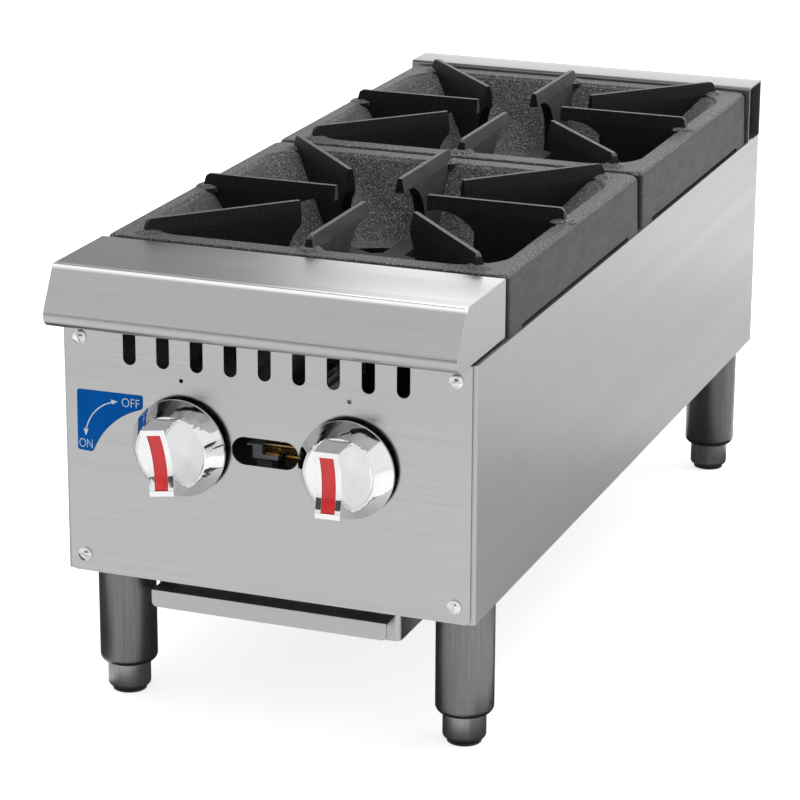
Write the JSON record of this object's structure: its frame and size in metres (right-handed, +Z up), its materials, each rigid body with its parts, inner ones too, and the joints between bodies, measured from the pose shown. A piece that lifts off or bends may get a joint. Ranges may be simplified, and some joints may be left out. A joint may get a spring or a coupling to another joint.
{
  "type": "countertop gas hotplate",
  "caption": "Narrow stainless countertop gas hotplate: star burners one behind the other under cast-iron grates, chrome knobs, a pull-out drip tray and round adjustable legs.",
  "frame": {"origin": "middle of the footprint, on the surface that the feet stand on", "axes": "+X to the cook's right, +Y from the knobs to the back, +Z up"},
  "size_m": [0.305, 0.7908, 0.3445],
  "materials": {
    "panel_steel": "brushed stainless steel with a level grain",
    "side_steel": "pale satin stainless steel",
    "inner_steel": "plain galvanised sheet",
    "grate_iron": "sand-cast iron, dark grey and granular",
    "burner_iron": "dark cast iron",
    "pipe_black": "black pipe",
    "valve_brass": "machined brass",
    "knob_chrome": "bright chrome",
    "insert_red": "glossy red",
    "leg_steel": "dull grey satin steel",
    "pad_black": "black",
    "tube_metal": "drawn tube",
    "screw_steel": "bright zinc",
    "shutter_steel": "plated disc"
  },
  "bodies": {
    "cabinet": {"front_panel": "panel_steel", "left_side_panel": "side_steel", "right_side_panel": "side_steel", "back_panel": "inner_steel", "base_pan": "inner_steel", "front_rail": "panel_steel", "back_riser": "panel_steel", "left_tray_runner": "inner_steel", "right_tray_runner": "inner_steel", "front_burner_casting": "burner_iron", "back_burner_casting": "burner_iron", "front_burner_bracket": "inner_steel", "back_burner_bracket": "inner_steel", "manifold_pipe": "pipe_black", "manifold_stands": "inner_steel", "supply_pipe": "pipe_black", "gas_inlet": "pipe_black", "left_valve": "valve_brass", "right_valve": "valve_brass", "left_orifice": "valve_brass", "right_orifice": "valve_brass", "pilot_valves": "valve_brass", "pilot_bracket": "inner_steel", "front_pilot_tube": "tube_metal", "back_pilot_tube": "tube_metal", "front_pilot_burner": "tube_metal", "back_pilot_burner": "tube_metal", "leg_plates": "inner_steel", "leg_nuts": "screw_steel", "panel_screws": "screw_steel", "back_screws": "screw_steel", "leg_front_left": "leg_steel", "leg_front_right": "leg_steel", "leg_back_left": "leg_steel", "leg_back_right": "leg_steel"},
    "drip_tray": {"drip_tray": "panel_steel"},
    "front_grate": {"front_grate": "grate_iron"},
    "back_grate": {"back_grate": "grate_iron"},
    "front_burner_head": {"front_burner_head": "burner_iron"},
    "back_burner_head": {"back_burner_head": "burner_iron"},
    "front_air_shutter": {"front_air_shutter": "shutter_steel"},
    "back_air_shutter": {"back_air_shutter": "shutter_steel"},
    "left_knob": {"left_knob": "knob_chrome", "left_knob_insert": "insert_red", "left_valve_stem": "screw_steel"},
    "right_knob": {"right_knob": "knob_chrome", "right_knob_insert": "insert_red", "right_valve_stem": "screw_steel"},
    "foot_front_left": {"foot_front_left": "leg_steel", "pad_front_left": "pad_black"},
    "foot_front_right": {"foot_front_right": "leg_steel", "pad_front_right": "pad_black"},
    "foot_back_left": {"foot_back_left": "leg_steel", "pad_back_left": "pad_black"},
    "foot_back_right": {"foot_back_right": "leg_steel", "pad_back_right": "pad_black"}
  },
  "joints": [
    {"name": "drip_tray_slide", "type": "slide", "parent": "cabinet", "child": "drip_tray", "axis": [0, -1, 0], "range_m": [0, 0.6]},
    {"name": "front_grate_lift", "type": "slide", "parent": "cabinet", "child": "front_grate", "axis": [0, 0, 1], "range_m": [0, 0.12]},
    {"name": "back_grate_lift", "type": "slide", "parent": "cabinet", "child": "back_grate", "axis": [0, 0, 1], "range_m": [0, 0.12]},
    {"name": "front_burner_head_lift", "type": "slide", "parent": "cabinet", "child": "front_burner_head", "axis": [0, 0, 1], "range_m": [0, 0.03]},
    {"name": "back_burner_head_lift", "type": "slide", "parent": "cabinet", "child": "back_burner_head", "axis": [0, 0, 1], "range_m": [0, 0.03]},
    {"name": "front_air_shutter_turn", "type": "hinge", "parent": "cabinet", "child": "front_air_shutter", "pos_m": [0.062, -0.2654, 0.209], "axis": [0, 1, 0], "range_deg": [-40, 40]},
    {"name": "back_air_shutter_turn", "type": "hinge", "parent": "cabinet", "child": "back_air_shutter", "pos_m": [-0.062, -0.2654, 0.209], "axis": [0, 1, 0], "range_deg": [-40, 40]},
    {"name": "left_knob_turn", "type": "hinge", "parent": "cabinet", "child": "left_knob", "pos_m": [-0.062, -0.3744, 0.209], "axis": [0, -1, 0], "range_deg": [-8, 82]},
    {"name": "right_knob_turn", "type": "hinge", "parent": "cabinet", "child": "right_knob", "pos_m": [0.062, -0.3744, 0.209], "axis": [0, -1, 0], "range_deg": [-1, 89]},
    {"name": "foot_front_left_screw_out", "type": "slide", "parent": "cabinet", "child": "foot_front_left", "axis": [0, 0, -1], "range_m": [0, 0.02]},
    {"name": "foot_front_right_screw_out", "type": "slide", "parent": "cabinet", "child": "foot_front_right", "axis": [0, 0, -1], "range_m": [0, 0.02]},
    {"name": "foot_back_left_screw_out", "type": "slide", "parent": "cabinet", "child": "foot_back_left", "axis": [0, 0, -1], "range_m": [0, 0.02]},
    {"name": "foot_back_right_screw_out", "type": "slide", "parent": "cabinet", "child": "foot_back_right", "axis": [0, 0, -1], "range_m": [0, 0.02]}
  ]
}
